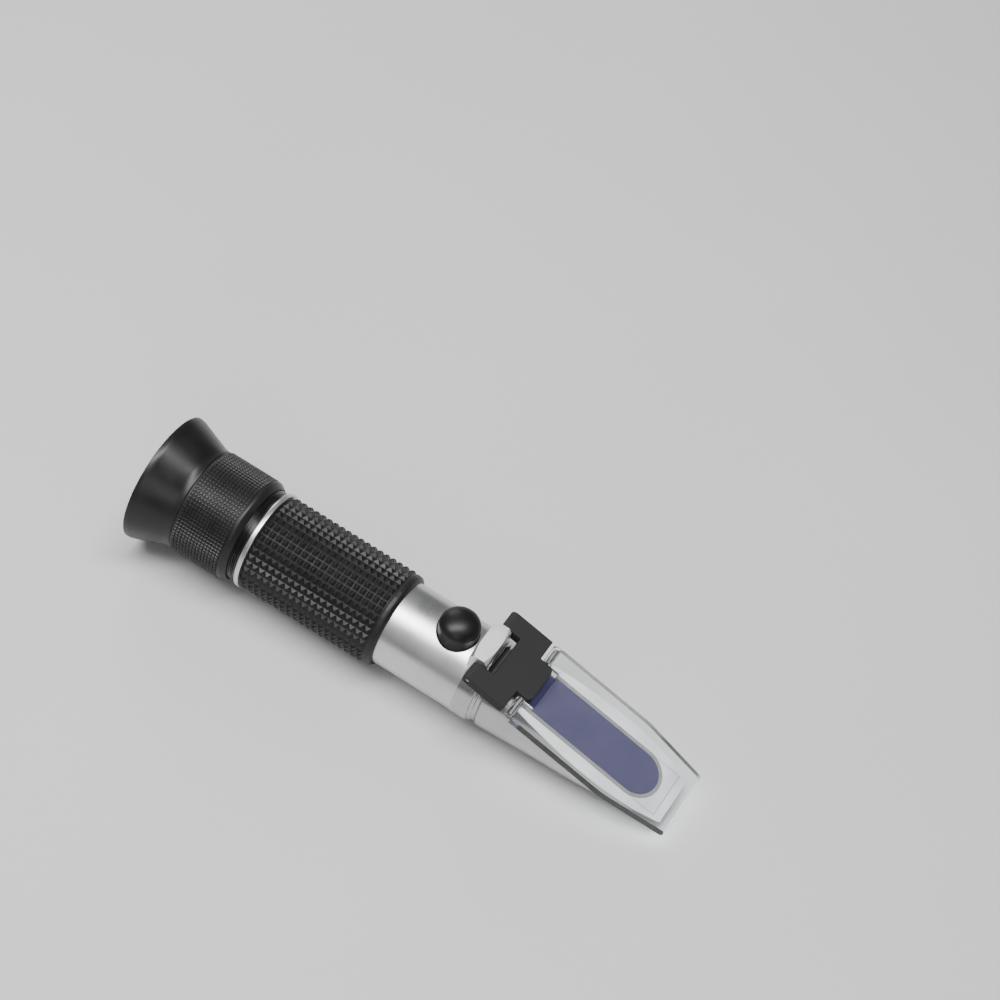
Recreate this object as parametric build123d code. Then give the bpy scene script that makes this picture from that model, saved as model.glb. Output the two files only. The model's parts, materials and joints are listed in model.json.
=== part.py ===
from build123d import *
import math
import os

# Handheld refractometer, millimetres.
# +X runs forwards along the optical axis, from the eyecup to the tip of the prism.
# +Z is up, on the side of the daylight plate's hinge and the calibration cap.
# The origin lies on the optical axis, in the plane of the eyecup's rim.

# ---------------------------------------------------------------- stations along the axis
EYECUP_LENGTH = 11.2
EYECUP_COLLAR_END = 12.9
FOCUS_RING_FRONT = 30.9
GRIP_RING_REAR = 33.5
GRIP_REAR = 35.0
GRIP_FRONT = 77.7
TUBE_FRONT = 102.6
CAP_X = 94.85
HINGE_X = 105.2
HEAD_TIP = 166.0

# ---------------------------------------------------------------- radii
EYECUP_RIM_R = 19.14
EYECUP_COLLAR_R = 15.5
FOCUS_RING_R = 15.74
NECK_R = 14.0
GRIP_RING_R = 14.75
GRIP_R = 14.33
TUBE_R = 12.5
TUBE_BORE_R = 11.4
HEAD_RING_R = 12.7
CAP_R = 5.75
CAP_FLANGE_R = 6.05
CAP_SIDE_TOP = 15.4
CAP_TOP = 18.7

# ---------------------------------------------------------------- fits
SNUG = 0.02            # radial gap of a pressed, glued or screwed joint
RUNNING = 0.06         # radial gap of a turning or sliding joint
BODY_GAP = 0.1         # gap between bodies that pass each other

# ---------------------------------------------------------------- eyepiece
THREAD_R = 13.2        # crest radius of the focusing thread
GUIDE_BORE_R = 10.5
GUIDE_REAR = 19.0
NECK_REAR = 27.0
GUIDE_FRONT = 41.0
SPIGOT_R = TUBE_BORE_R - SNUG
THREAD_RUN_OUT = 24.6  # end of the ring's internal thread
HUB_REAR = 8.4
HUB_R = 13.4
HUB_BORE_R = 9.6
HUB_WEB_END = 13.7
CELL_REAR = 13.8
CELL_FLANGE_END = 15.4
CELL_FLANGE_R = 12.4
CELL_FRONT = 34.0
CELL_BORE_R = 9.4
CELL_LIP_R = 8.2
CELL_LIP_END = 14.8
EYEPIECE_LENS_R = CELL_BORE_R - 0.05
EYE_LENS_REAR = 14.95
FIELD_LENS_REAR = 27.1
GUIDE_SCREW_X = 24.0
GUIDE_SCREW_R = 0.8
FOCUS_IN = 2.0         # travel of the eyepiece towards the tube
FOCUS_OUT = 3.0        # travel of the eyepiece away from the tube

# ---------------------------------------------------------------- prism face and its cover
FACE_X = 126.9         # a point on the prism face, on the middle plane
FACE_Z = 6.02
FACE_ANGLE = 14.68     # fall of the face towards the tip, degrees
HINGE_Z = 14.1
HINGE_PIN_R = 0.64
HINGE_PIN_REACH = 12.3
LUG_HALF_WIDTH = 6.58
LUG_TOP = 16.6
LUG_REAR = 101.9
LUG_FRONT = 107.2
LUG_TURNED_R = 17.95
BRACKET_THICKNESS = 3.2
BRACKET_HALF_WIDTH = 12.8
TONGUE_HALF_WIDTH = 6.3
PLATE_LIFT = 0.35      # underside of the closed plate above the metal face
PLATE_THICKNESS = 2.8
PLATE_HALF_WIDTH = 13.3
PLATE_TIP_HALF_WIDTH = 10.3
KNUCKLE_R = 1.55
PLATE_PIN_R = 0.59
WINDOW_HALF_WIDTH = 6.45
SEAL_WIDTH = 1.1
CELL_PLATE_HALF_WIDTH = 7.2
PRISM_BACK_X = 118.2
PRISM_BOTTOM_Z = -6.5

# ---------------------------------------------------------------- lens carriage
CARRIAGE_R = 8.9
CARRIAGE_BORE_R = 7.6
SCREW_TRAVEL = 0.4     # the carriage's travel each way, one turn of the screw
BUSH_R = 2.6
SCREW_HEAD_R = 1.5
SCREW_R = 1.0

FACE_COS = math.cos(math.radians(FACE_ANGLE))
FACE_SIN = math.sin(math.radians(FACE_ANGLE))
FACE_PLANE = Plane(
    origin=(FACE_X, 0, FACE_Z),
    x_dir=(FACE_COS, 0, -FACE_SIN),
    z_dir=(FACE_SIN, 0, FACE_COS),
)


def along_face(x, height):
    """Distance along the face of a point at station x, at a height above the face."""
    return (x - FACE_X - height * FACE_SIN) / FACE_COS


# The hinge pin seen from the face: how far back it lies and how high above the face.
HINGE_ALONG = (HINGE_X - FACE_X) * FACE_COS - (HINGE_Z - FACE_Z) * FACE_SIN
HINGE_HEIGHT = (HINGE_X - FACE_X) * FACE_SIN + (HINGE_Z - FACE_Z) * FACE_COS
BRACKET_BOTTOM = HINGE_HEIGHT - BRACKET_THICKNESS / 2
BRACKET_TOP = HINGE_HEIGHT + BRACKET_THICKNESS / 2
PLATE_TOP = PLATE_LIFT + PLATE_THICKNESS
NOTCH_ALONG = along_face(110.0, BRACKET_TOP)
SHOULDER_ALONG = along_face(117.2, BRACKET_TOP)
TONGUE_ALONG = along_face(121.75, BRACKET_TOP)
KNUCKLE_ALONG = along_face(119.1, HINGE_HEIGHT)
PLATE_NOTCH_ALONG = along_face(123.3, PLATE_TOP)
PLATE_BEND_ALONG = along_face(149.3, PLATE_LIFT)
PLATE_TIP_ALONG = along_face(168.85, PLATE_LIFT)
PLATE_TIP_SLOPE = 0.9   # how far the tip's end wall leans back over the plate's thickness
WINDOW_END_ALONG = along_face(159.7, 0)
CELL_PLATE_END_ALONG = along_face(163.6, 0)


# ================================================================ shared shapes
def turned(points):
    """Solid of revolution about the optical axis, from its outline of (x, radius) points."""
    outline = Polyline([(x, 0, r) for x, r in points], close=True)
    return revolve(make_face(outline), axis=Axis.X)


def sleeve(x0, x1, outer, inner):
    """Plain tube about the optical axis."""
    return turned([(x0, inner), (x0, outer), (x1, outer), (x1, inner)])


def rod_x(x0, x1, radius):
    return Plane(origin=(x0, 0, 0), z_dir=(1, 0, 0)) * extrude(Circle(radius), x1 - x0)


def rod_y(x, z, half_length, radius):
    """Round bar across the middle plane."""
    bar = extrude(Circle(radius), half_length, both=True)
    return Plane(origin=(x, 0, z), z_dir=(0, 1, 0)) * bar


def rod_z(x, y, z0, z1, radius):
    return Pos(x, y, z0) * extrude(Circle(radius), z1 - z0)


def block(x0, x1, y0, y1, z0, z1):
    centre = ((x0 + x1) / 2, (y0 + y1) / 2, (z0 + z1) / 2)
    return Pos(*centre) * Box(x1 - x0, y1 - y0, z1 - z0)


def face_block(s0, s1, y0, y1, w0, w1):
    """Block lying parallel to the prism face: s runs along the face, w stands off it."""
    return FACE_PLANE * block(s0, s1, y0, y1, w0, w1)


def face_rod(s, w, half_length, radius):
    """Cross bar placed by its position over the prism face."""
    bar = extrude(Circle(radius), half_length, both=True)
    return FACE_PLANE * Plane(origin=(s, 0, w), z_dir=(0, 1, 0)) * bar


def spherical_arc(x_edge, radius, sag):
    """Arc from the rim of a lens face to its vertex; sag is signed along X."""
    curvature = (radius ** 2 + sag ** 2) / (2 * abs(sag))
    half = radius / 2
    drop = curvature - math.sqrt(curvature ** 2 - half ** 2)
    middle = x_edge + sag - math.copysign(drop, sag)
    return ThreePointArc((x_edge, 0, radius), (middle, 0, half), (x_edge + sag, 0, 0))


def lens(x_rear, x_front, radius, rear_sag, front_sag):
    """Biconvex lens whose rim runs from x_rear to x_front."""
    rear = spherical_arc(x_rear, radius, -rear_sag)
    front = spherical_arc(x_front, radius, front_sag)
    rim = Line((x_rear, 0, radius), (x_front, 0, radius))
    middle = Line((x_rear - rear_sag, 0, 0), (x_front + front_sag, 0, 0))
    return revolve(make_face([rear, rim, front, middle]), axis=Axis.X)


def window_outline(half_width, rear_along, end_along):
    """Long window with a square rear end and a round front end, in the face's plane."""
    straight_end = end_along - half_width
    length = straight_end - rear_along
    bar = Pos((rear_along + straight_end) / 2, 0) * Rectangle(length, 2 * half_width)
    return bar + Pos(straight_end, 0) * Circle(half_width)


def face_prism(outline, w0, w1):
    """Outline in the face's plane, extruded from height w0 to w1."""
    return FACE_PLANE * Pos(0, 0, w0) * extrude(outline, w1 - w0)


# ================================================================ eyepiece
def across_face(points, half_width):
    """Side outline of (along, height) points on the face, as wide on both sides of the middle."""
    side = Plane(origin=(FACE_X, 0, FACE_Z), x_dir=(FACE_COS, 0, -FACE_SIN), z_dir=(0, -1, 0))
    return side * extrude(make_face(Polyline(points, close=True)), half_width, both=True)


def make_eyecup():
    """Soft rubber funnel that shades the eye, stretched over the focusing ring's hub."""
    rim_inner = EYECUP_RIM_R - 1.25
    return turned([
        (0, rim_inner),
        (0, EYECUP_RIM_R),
        (EYECUP_LENGTH, EYECUP_COLLAR_R),
        (EYECUP_COLLAR_END, EYECUP_COLLAR_R),
        (EYECUP_COLLAR_END, HUB_R + SNUG),
        (HUB_REAR, HUB_R + SNUG),
    ])


def make_focus_ring():
    """Knurled ring with the internal focusing thread; its skirt slides over the neck."""
    skirt_bore = NECK_R + RUNNING
    thread_bore = THREAD_R + RUNNING
    chamfer_start = FOCUS_RING_FRONT - 2.5
    return turned([
        (HUB_REAR, HUB_BORE_R),
        (HUB_REAR, HUB_R),
        (EYECUP_COLLAR_END, HUB_R),
        (EYECUP_COLLAR_END, FOCUS_RING_R),
        (chamfer_start, FOCUS_RING_R),
        (FOCUS_RING_FRONT - 0.8, FOCUS_RING_R - 0.5),
        (FOCUS_RING_FRONT, FOCUS_RING_R - 1.2),
        (FOCUS_RING_FRONT, skirt_bore),
        (THREAD_RUN_OUT, skirt_bore),
        (THREAD_RUN_OUT, thread_bore),
        (HUB_WEB_END, thread_bore),
        (HUB_WEB_END, HUB_BORE_R),
    ])


def make_cell_snap_ring():
    """Ring that keeps the lens cell's flange inside the focusing ring."""
    rear = CELL_FLANGE_END + BODY_GAP
    return sleeve(rear, rear + 0.8, THREAD_R + RUNNING - SNUG, GUIDE_BORE_R + 0.8)


def make_eyepiece_cell():
    """Sliding tube that holds the eyepiece lenses; a keyway stops it from turning."""
    cell = turned([
        (CELL_REAR, CELL_LIP_R),
        (CELL_REAR, CELL_FLANGE_R),
        (CELL_FLANGE_END, CELL_FLANGE_R),
        (CELL_FLANGE_END, GUIDE_BORE_R - RUNNING),
        (CELL_FRONT, GUIDE_BORE_R - RUNNING),
        (CELL_FRONT, CELL_BORE_R),
        (CELL_LIP_END, CELL_BORE_R),
        (CELL_LIP_END, CELL_LIP_R),
    ])
    reach = GUIDE_SCREW_R + 0.4
    half_slot = GUIDE_SCREW_R + RUNNING
    slot = block(
        GUIDE_SCREW_X - FOCUS_IN - reach,
        GUIDE_SCREW_X + FOCUS_OUT + reach,
        -half_slot,
        half_slot,
        -GUIDE_BORE_R,
        -CELL_BORE_R - 0.2,
    )
    return cell - slot


def make_eye_lens():
    return lens(EYE_LENS_REAR, EYE_LENS_REAR + 1.5, EYEPIECE_LENS_R, 0.4, 1.6)


def make_lens_spacer():
    """Tube between the two lenses; each end clears the bulge of its lens."""
    return sleeve(EYE_LENS_REAR + 1.85, FIELD_LENS_REAR - 0.3, EYEPIECE_LENS_R, EYEPIECE_LENS_R - 0.95)


def make_field_lens():
    return lens(FIELD_LENS_REAR, FIELD_LENS_REAR + 1.3, EYEPIECE_LENS_R, 1.2, 0.5)


def make_lens_retaining_ring():
    rear = FIELD_LENS_REAR + 1.5
    return sleeve(rear, rear + 2.4, EYEPIECE_LENS_R, EYEPIECE_LENS_R - 1.2)


def make_eyepiece_guide():
    """Threaded sleeve fixed in the tube: it carries the focusing ring and guides the cell."""
    guide = turned([
        (GUIDE_REAR, GUIDE_BORE_R),
        (GUIDE_REAR, THREAD_R),
        (NECK_REAR, THREAD_R),
        (NECK_REAR, NECK_R),
        (GRIP_RING_REAR, NECK_R),
        (GRIP_RING_REAR, SPIGOT_R),
        (GUIDE_FRONT, SPIGOT_R),
        (GUIDE_FRONT, GUIDE_BORE_R),
    ])
    return guide - rod_z(GUIDE_SCREW_X, 0, -THREAD_R - 1, -GUIDE_BORE_R + 1, GUIDE_SCREW_R + SNUG)


def make_guide_screw():
    """Grub screw through the guide; its tip runs in the cell's keyway."""
    return rod_z(GUIDE_SCREW_X, 0, -THREAD_R + BODY_GAP, -CELL_BORE_R - 0.35, GUIDE_SCREW_R)


# ================================================================ barrel
def make_grip_end_ring():
    ring = sleeve(GRIP_RING_REAR, GRIP_REAR, GRIP_RING_R, TUBE_R + SNUG)
    return chamfer(ring.edges().group_by(Axis.X)[0].sort_by(SortBy.RADIUS)[-1], 0.3)


def make_rubber_grip():
    """Thick rubber sleeve; a smooth band at its front steps down to the tube."""
    band = 2.7
    return turned([
        (GRIP_REAR, TUBE_R + SNUG),
        (GRIP_REAR, GRIP_R),
        (GRIP_FRONT - band, GRIP_R),
        (GRIP_FRONT - 0.5, GRIP_R - 0.35),
        (GRIP_FRONT, TUBE_R + 0.7),
        (GRIP_FRONT, TUBE_R + SNUG),
    ])


def make_body_tube():
    tube = sleeve(GRIP_RING_REAR, TUBE_FRONT, TUBE_R, TUBE_BORE_R)
    return tube - rod_z(CAP_X, 0, 0, TUBE_R + 1, BUSH_R + SNUG)


RETICLE_REAR = 41.4
RETICLE_SEAT = 42.9
RETICLE_R = 9.95


def make_reticle_holder():
    return turned([
        (RETICLE_REAR, 8.8),
        (RETICLE_REAR, SPIGOT_R),
        (47.4, SPIGOT_R),
        (47.4, RETICLE_R + SNUG),
        (RETICLE_SEAT, RETICLE_R + SNUG),
        (RETICLE_SEAT, 8.8),
    ])


def make_reticle_glass():
    """Glass disc that carries the scale."""
    return rod_x(RETICLE_SEAT + 0.02, 44.4, RETICLE_R)


def make_reticle_retaining_ring():
    return sleeve(44.42, 46.4, RETICLE_R, 8.8)


def make_light_baffle():
    """Black ring that stops stray light half way down the tube."""
    return turned([(62.0, 9.9), (62.0, SPIGOT_R), (66.0, SPIGOT_R), (66.0, 7.0), (65.4, 7.0), (65.4, 9.9)])


# ================================================================ lens carriage and calibration
BLOCK_REAR = 91.5
BLOCK_FRONT = 97.5
STRIP_BOTTOM = CARRIAGE_R
STRIP_TOP = CARRIAGE_R + 0.6
BOSS_TOP = 9.6
OBJECTIVE_REAR = 79.5
OBJECTIVE_FRONT = 86.5
OBJECTIVE_BORE_R = 8.1
RIVETS = [(92.3, -1.4), (92.3, 1.4), (81.3, -1.4), (81.3, 1.4)]
RIVET_R = 0.5


def rivet_holes():
    holes = [rod_z(x, y, 7.0, STRIP_TOP + 1, RIVET_R + SNUG) for x, y in RIVETS]
    return Part() + holes


def make_adjusting_block():
    """Ring with a threaded boss on top, raised and lowered by the calibration screw."""
    ring = sleeve(BLOCK_REAR, BLOCK_FRONT, CARRIAGE_R, CARRIAGE_BORE_R)
    pad = block(BLOCK_REAR, BLOCK_FRONT, -3, 3, CARRIAGE_BORE_R + 0.2, STRIP_BOTTOM)
    boss = block(CAP_X - 1.65, BLOCK_FRONT, -2.5, 2.5, CARRIAGE_BORE_R + 0.2, BOSS_TOP)
    thread = rod_z(CAP_X, 0, CARRIAGE_BORE_R - 1, BOSS_TOP + 1, SCREW_R + RUNNING)
    return ring + pad + boss - thread - rivet_holes()


def make_bimetal_strip():
    """Temperature-compensating strip that carries the objective behind the block."""
    strip = block(OBJECTIVE_REAR + 0.3, 93.1, -2.5, 2.5, STRIP_BOTTOM + 0.01, STRIP_TOP)
    return strip - rivet_holes()


def make_strip_rivets():
    rivets = Part()
    for x, y in RIVETS:
        shank = rod_z(x, y, OBJECTIVE_BORE_R + 0.1, STRIP_TOP + 0.1, RIVET_R)
        head = rod_z(x, y, STRIP_TOP + SNUG, STRIP_TOP + 0.35, RIVET_R + 0.35)
        rivets += shank + head
    return rivets


def make_objective_cell():
    cell = turned([
        (OBJECTIVE_REAR, 7.4),
        (OBJECTIVE_REAR, CARRIAGE_R),
        (OBJECTIVE_FRONT, CARRIAGE_R),
        (OBJECTIVE_FRONT, OBJECTIVE_BORE_R),
        (OBJECTIVE_REAR + 1.2, OBJECTIVE_BORE_R),
        (OBJECTIVE_REAR + 1.2, 7.4),
    ])
    pad = block(OBJECTIVE_REAR, 83.2, -3, 3, OBJECTIVE_BORE_R + 0.05, STRIP_BOTTOM)
    return cell + pad - rivet_holes()


def make_objective_lens():
    return lens(OBJECTIVE_REAR + 1.75, 83.2, OBJECTIVE_BORE_R - 0.05, 0.9, 0.9)


def make_objective_retaining_ring():
    return sleeve(83.5, 85.6, OBJECTIVE_BORE_R - 0.05, 7.0)


def make_calibration_bush():
    """Shouldered bush pressed into the tube wall; the screw's head turns inside it."""
    bush = rod_z(CAP_X, 0, 10.3, 13.4, BUSH_R)
    head_bore = rod_z(CAP_X, 0, 11.5, 14.0, SCREW_HEAD_R + RUNNING)
    shank_bore = rod_z(CAP_X, 0, 10.0, 12.0, SCREW_R + RUNNING)
    return bush - head_bore - shank_bore


def make_calibration_screw():
    """Slotted screw that moves the lens carriage."""
    head = rod_z(CAP_X, 0, 11.55, 12.9, SCREW_HEAD_R)
    shank = rod_z(CAP_X, 0, 7.9, 11.6, SCREW_R)
    slot = block(CAP_X - 2, CAP_X + 2, -0.25, 0.25, 12.4, 13.2)
    return head + shank - slot


def make_calibration_cap():
    """Rubber dome that plugs over the bush; its underside follows the tube."""
    below = 10.0
    side = Line((0, 0, below), (CAP_R, 0, below)) + Line((CAP_R, 0, below), (CAP_R, 0, CAP_SIDE_TOP))
    dome = Spline(
        [(CAP_R, 0, CAP_SIDE_TOP), (0.72 * CAP_R, 0, CAP_TOP - 1.0), (0, 0, CAP_TOP)],
        tangents=[(0, 0, 1), (-1, 0, 0)],
    )
    middle = Line((0, 0, CAP_TOP), (0, 0, below))
    cap = Pos(CAP_X, 0, 0) * revolve(make_face(side + dome + middle), axis=Axis.Z)
    tube = rod_x(CAP_X - 10, CAP_X + 10, TUBE_R + RUNNING)
    flange = rod_z(CAP_X, 0, below, CAP_TOP, CAP_FLANGE_R) & rod_x(CAP_X - 10, CAP_X + 10, TUBE_R + 0.5)
    socket = rod_z(CAP_X, 0, below, 13.6, BUSH_R + RUNNING)
    return cap + flange - tube - socket


def make_adjusting_spring():
    """Coil spring that pushes the carriage up against the screw."""
    wire = 0.175
    coil_r = 1.3
    bottom = -TUBE_BORE_R + 0.35
    top = -CARRIAGE_R - wire - BODY_GAP
    path = Pos(CAP_X, 0, bottom) * Helix(pitch=(top - bottom) / 3, height=top - bottom, radius=coil_r)
    section = Plane(origin=path @ 0, z_dir=path % 0) * Circle(wire)
    return sweep(section, path=path)


# ================================================================ prism head
HEAD_SPIGOT_REAR = 98.2
HEAD_BORE_R = 7.0
O_RING_X = 100.0
O_RING_R = 0.45


def make_prism_head():
    """Turned metal head with its hinge lug, cut flat where the prism sits."""
    head = ogive() + hinge_lug()
    head -= rod_y(HINGE_X, HINGE_Z, BRACKET_HALF_WIDTH, HINGE_PIN_R + SNUG)
    head -= rod_x(HEAD_SPIGOT_REAR - 1, PRISM_BACK_X + 1, HEAD_BORE_R)
    head -= prism_cavity()
    plate_slot = CELL_PLATE_HALF_WIDTH + SNUG
    head -= face_block(-9.5, CELL_PLATE_END_ALONG + SNUG, -plate_slot, plate_slot, -1.85, 1)
    seal_edge = WINDOW_HALF_WIDTH + SEAL_WIDTH
    seal_outline = window_outline(seal_edge + SNUG, -9.5, WINDOW_END_ALONG + SEAL_WIDTH)
    return head - face_prism(seal_outline, -0.85, 1)


def ogive():
    """Outside of the head: spigot, ring, groove and tapering nose."""
    groove_r = SPIGOT_R - 2 * O_RING_R - 2 * SNUG
    rear = Polyline([
        (HEAD_SPIGOT_REAR, 0, 0),
        (HEAD_SPIGOT_REAR, 0, SPIGOT_R),
        (O_RING_X - O_RING_R - SNUG, 0, SPIGOT_R),
        (O_RING_X - O_RING_R - SNUG, 0, groove_r),
        (O_RING_X + O_RING_R + SNUG, 0, groove_r),
        (O_RING_X + O_RING_R + SNUG, 0, SPIGOT_R),
        (TUBE_FRONT, 0, SPIGOT_R),
        (TUBE_FRONT, 0, HEAD_RING_R - 0.2),
        (TUBE_FRONT + 0.2, 0, HEAD_RING_R),
        (107.5, 0, HEAD_RING_R),
        (107.7, 0, HEAD_RING_R - 0.3),
        (108.0, 0, 12.1),
        (108.5, 0, 12.1),
        (109.0, 0, 11.6),
        (109.9, 0, 11.6),
        (110.4, 0, 12.25),
    ])
    nose = Spline([
        (110.4, 0, 12.25),
        (126.7, 0, 11.65),
        (139.7, 0, 11.4),
        (152.7, 0, 10.6),
        (HEAD_TIP, 0, 8.9),
    ])
    front = Line((HEAD_TIP, 0, 8.9), (HEAD_TIP, 0, 0))
    middle = Line((HEAD_TIP, 0, 0), (HEAD_SPIGOT_REAR, 0, 0))
    body = revolve(make_face(rear + nose + front + middle), axis=Axis.X)
    above_face = face_block(along_face(107.4, 0), 60, -20, 20, 0, 40)
    above_face -= block(90, LUG_FRONT, -20, 20, -20, 60)
    return body - above_face


def hinge_lug():
    """Block for the hinge pin: flat on top, with its front and rear turned to cones."""
    cone = turned([
        (LUG_REAR, 9.0),
        (LUG_REAR, LUG_TURNED_R - 1.6),
        (LUG_REAR + 1.25, LUG_TURNED_R),
        (LUG_FRONT - 1.05, LUG_TURNED_R),
        (LUG_FRONT, LUG_TURNED_R - 1.3),
        (LUG_FRONT, 9.0),
    ])
    rear_overhang = block(100, TUBE_FRONT, -LUG_HALF_WIDTH, LUG_HALF_WIDTH, 0, TUBE_R + RUNNING)
    column = block(LUG_REAR, LUG_FRONT, -LUG_HALF_WIDTH, LUG_HALF_WIDTH, 9.0, LUG_TOP)
    return (cone & column) - rear_overhang - rod_x(100, TUBE_FRONT, TUBE_R + RUNNING)


def prism_profile(margin):
    """Side outline of the prism below the glass window, grown by a margin."""
    rear = PRISM_BACK_X - margin
    bottom = PRISM_BOTTOM_Z - margin
    return Polyline([
        (rear, 0, 8.0),
        (rear, 0, bottom),
        (147.0, 0, bottom),
        (152.5 + margin, 0, -4.6),
        (152.5 + margin, 0, 0),
    ], close=True)


def prism_wedge(margin):
    """Body of the prism below the window; it stays under the face."""
    half_width = WINDOW_HALF_WIDTH - 0.45 + margin
    outline = make_face(prism_profile(margin))
    wedge = extrude(outline, half_width, dir=(0, 1, 0), both=True)
    return wedge - face_block(-30, 60, -20, 20, -0.9, 40)


def prism_cavity():
    return prism_wedge(0.1)


def make_main_prism():
    """Measuring prism: a long glass face, proud of the metal, over the wedge."""
    outline = window_outline(WINDOW_HALF_WIDTH - SNUG, along_face(PRISM_BACK_X, 0), WINDOW_END_ALONG - SNUG)
    return face_prism(outline, -1.0, 0.2) + prism_wedge(0)


def make_prism_cell():
    """Thin plate around the glass, let into the face."""
    rear = -9.4
    width = CELL_PLATE_HALF_WIDTH
    plate = face_block(rear, CELL_PLATE_END_ALONG, -width, width, -1.8, 0)
    glass = window_outline(WINDOW_HALF_WIDTH, -12, WINDOW_END_ALONG)
    seal = window_outline(WINDOW_HALF_WIDTH + SEAL_WIDTH, -12, WINDOW_END_ALONG + SEAL_WIDTH)
    plate -= face_prism(glass, -3, 1)
    return plate - face_prism(seal, -0.85, 1)


def make_window_seal():
    """Sealant bead around the glass."""
    rear = -9.4
    outer = window_outline(WINDOW_HALF_WIDTH + SEAL_WIDTH - SNUG, rear, WINDOW_END_ALONG + SEAL_WIDTH - SNUG)
    inner = window_outline(WINDOW_HALF_WIDTH, rear - 1, WINDOW_END_ALONG)
    return face_prism(outer - inner, -0.84, 0.1)


def make_head_o_ring():
    """Seal between the head's spigot and the tube."""
    centre_r = SPIGOT_R - O_RING_R - SNUG
    section = Plane(origin=(O_RING_X, 0, centre_r), z_dir=(0, 1, 0)) * Circle(O_RING_R)
    return revolve(section, axis=Axis.X)


def make_hinge_pin():
    return rod_y(HINGE_X, HINGE_Z, HINGE_PIN_REACH, HINGE_PIN_R)


# ================================================================ cover
def make_cover_bracket():
    """Plastic hinge bracket: two ears around the lug and a tongue between the knuckles."""
    width = BRACKET_HALF_WIDTH
    far = 30
    bracket = face_block(HINGE_ALONG, TONGUE_ALONG, -width, width, BRACKET_BOTTOM, BRACKET_TOP)
    bracket += face_rod(HINGE_ALONG, HINGE_HEIGHT, width, BRACKET_THICKNESS / 2)
    for side in (-1, 1):
        inner, outer = sorted((side * TONGUE_HALF_WIDTH, side * far))
        bracket -= face_block(SHOULDER_ALONG, far, inner, outer, BRACKET_BOTTOM - 1, BRACKET_TOP + 1)
    gap = LUG_HALF_WIDTH + 0.4
    bracket -= face_block(HINGE_ALONG - 5, NOTCH_ALONG, -gap, gap, BRACKET_BOTTOM - 1, BRACKET_TOP + 1)
    corners = bracket.edges().filter_by(Axis(FACE_PLANE.origin, FACE_PLANE.z_dir))
    tongue_corners = corners.group_by(Axis(FACE_PLANE.origin, FACE_PLANE.x_dir))[-1]
    bracket = fillet(tongue_corners, 1.3)
    bracket -= rod_y(HINGE_X, HINGE_Z, width + 1, HINGE_PIN_R + RUNNING)
    return bracket - face_rod(KNUCKLE_ALONG, HINGE_HEIGHT, TONGUE_HALF_WIDTH + 1, PLATE_PIN_R + SNUG)


def plate_outline():
    """Plan of the clear plate: parallel sides, then a taper to the tip."""
    rear = KNUCKLE_ALONG + 1.1
    notch = TONGUE_HALF_WIDTH + 0.4
    half = [
        (PLATE_NOTCH_ALONG, notch),
        (rear, notch),
        (rear, PLATE_HALF_WIDTH),
        (PLATE_BEND_ALONG, PLATE_HALF_WIDTH),
        (PLATE_TIP_ALONG, PLATE_TIP_HALF_WIDTH),
    ]
    mirrored = [(s, -y) for s, y in reversed(half)]
    return make_face(Polyline(half + mirrored, close=True))


def make_daylight_plate():
    """Clear plate that spreads the sample over the prism, with two hinge knuckles."""
    plate = face_prism(plate_outline(), PLATE_LIFT, PLATE_TOP)
    knuckle = face_rod(KNUCKLE_ALONG, HINGE_HEIGHT, PLATE_HALF_WIDTH - 0.4, KNUCKLE_R)
    notch = TONGUE_HALF_WIDTH + 0.4
    knuckle -= face_block(-20, PLATE_NOTCH_ALONG, -notch, notch, -5, 10)
    plate += knuckle
    tip_cut = across_face([
        (PLATE_TIP_ALONG, PLATE_LIFT),
        (PLATE_TIP_ALONG - PLATE_TIP_SLOPE, PLATE_TOP),
        (PLATE_TIP_ALONG - PLATE_TIP_SLOPE, PLATE_TOP + 1),
        (PLATE_TIP_ALONG + 1, PLATE_TOP + 1),
        (PLATE_TIP_ALONG + 1, PLATE_LIFT),
    ], PLATE_HALF_WIDTH)
    pin_bore = face_rod(KNUCKLE_ALONG, HINGE_HEIGHT, PLATE_HALF_WIDTH + 1, PLATE_PIN_R + RUNNING)
    return plate - tip_cut - pin_bore


def make_plate_pin():
    """Pin through the tongue and both knuckles, on which the plate levels itself."""
    return face_rod(KNUCKLE_ALONG, HINGE_HEIGHT, PLATE_HALF_WIDTH - 1.0, PLATE_PIN_R)


# ================================================================ nodes
NODES = {
    "eyecup": make_eyecup,
    "focus_ring": make_focus_ring,
    "cell_snap_ring": make_cell_snap_ring,
    "eyepiece_cell": make_eyepiece_cell,
    "eye_lens": make_eye_lens,
    "lens_spacer": make_lens_spacer,
    "field_lens": make_field_lens,
    "lens_retaining_ring": make_lens_retaining_ring,
    "eyepiece_guide": make_eyepiece_guide,
    "guide_screw": make_guide_screw,
    "grip_end_ring": make_grip_end_ring,
    "rubber_grip": make_rubber_grip,
    "body_tube": make_body_tube,
    "reticle_holder": make_reticle_holder,
    "reticle_glass": make_reticle_glass,
    "reticle_retaining_ring": make_reticle_retaining_ring,
    "light_baffle": make_light_baffle,
    "adjusting_block": make_adjusting_block,
    "bimetal_strip": make_bimetal_strip,
    "strip_rivets": make_strip_rivets,
    "objective_cell": make_objective_cell,
    "objective_lens": make_objective_lens,
    "objective_retaining_ring": make_objective_retaining_ring,
    "calibration_bush": make_calibration_bush,
    "calibration_screw": make_calibration_screw,
    "calibration_cap": make_calibration_cap,
    "adjusting_spring": make_adjusting_spring,
    "prism_head": make_prism_head,
    "main_prism": make_main_prism,
    "prism_cell": make_prism_cell,
    "window_seal": make_window_seal,
    "head_o_ring": make_head_o_ring,
    "hinge_pin": make_hinge_pin,
    "cover_bracket": make_cover_bracket,
    "daylight_plate": make_daylight_plate,
    "plate_pin": make_plate_pin,
}

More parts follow.
